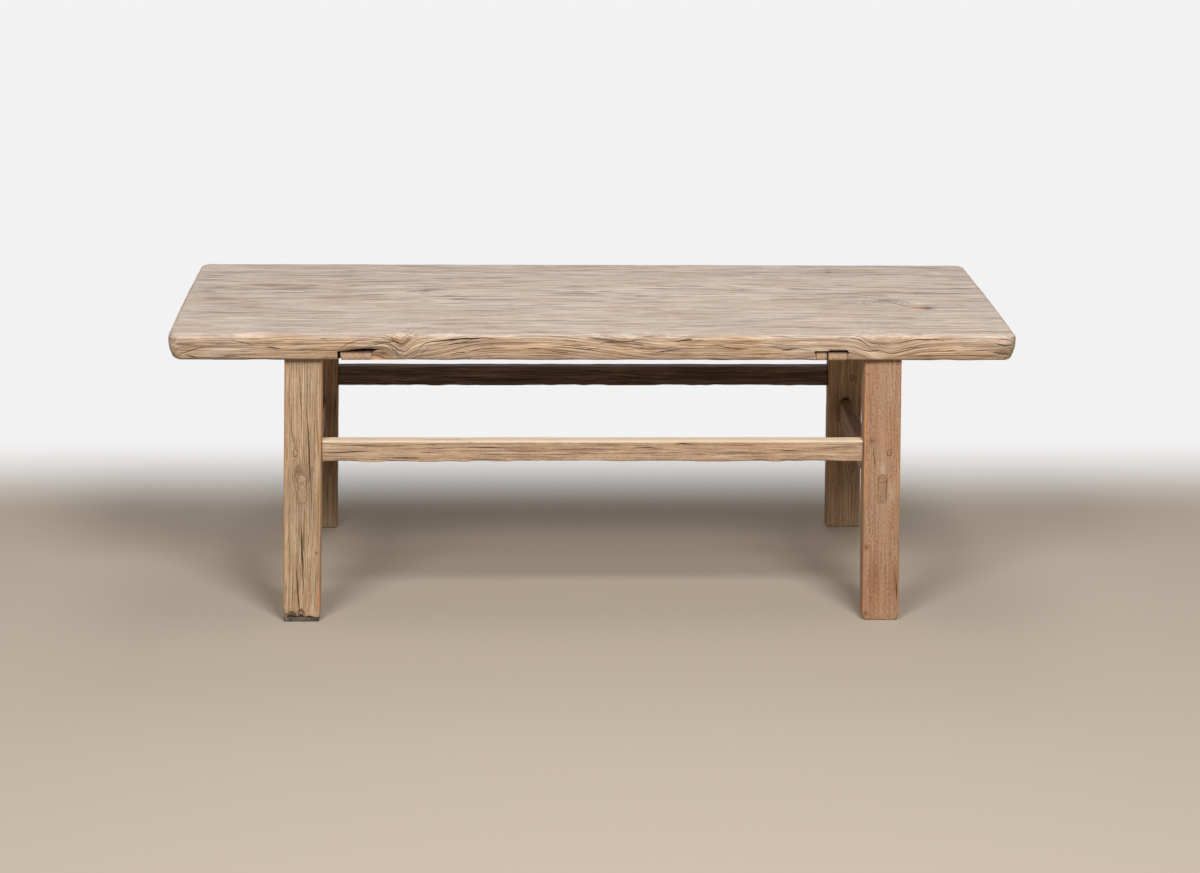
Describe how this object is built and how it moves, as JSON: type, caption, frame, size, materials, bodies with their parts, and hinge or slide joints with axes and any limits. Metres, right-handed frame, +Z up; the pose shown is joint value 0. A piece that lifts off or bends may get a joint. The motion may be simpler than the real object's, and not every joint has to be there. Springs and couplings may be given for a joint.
{
  "type": "kang table",
  "caption": "Low rectangular kang table with a thick weathered plank top on splayed legs, tied by staggered through-tenoned stretchers.",
  "frame": {"origin": "on the floor under the middle of the top", "axes": "+X along the table's length to the sitter's right, +Y to its back, +Z up"},
  "size_m": [1.194, 0.4678, 0.423],
  "materials": {
    "elm_top": "weathered, greyed, dry, lightly waxed",
    "elm_batten": "sawn, weathered",
    "elm_leg": "weathered, dry, worn arrises",
    "elm_leg_red": "weathered, redder heartwood, dry",
    "elm_rail": "weathered, dry",
    "elm_peg": "end grain, dry",
    "felt": "pressed felt, dusty"
  },
  "bodies": {
    "root": {"top_board": "elm_top", "left_batten": "elm_batten", "right_batten": "elm_batten", "right_batten_key": "elm_batten", "leg_front_left": "elm_leg", "leg_front_right": "elm_leg_red", "leg_back_left": "elm_leg", "leg_back_right": "elm_leg", "front_left_foot_pad": "felt", "front_stretcher": "elm_rail", "back_stretcher": "elm_rail", "left_side_stretcher": "elm_rail", "right_side_stretcher": "elm_rail", "peg_front_left": "elm_peg", "peg_front_right": "elm_peg", "peg_back_left": "elm_peg", "peg_back_right": "elm_peg", "wedge_front_left": "elm_peg", "wedge_front_right": "elm_peg", "wedge_back_left": "elm_peg", "wedge_back_right": "elm_peg"}
  },
  "joints": []
}
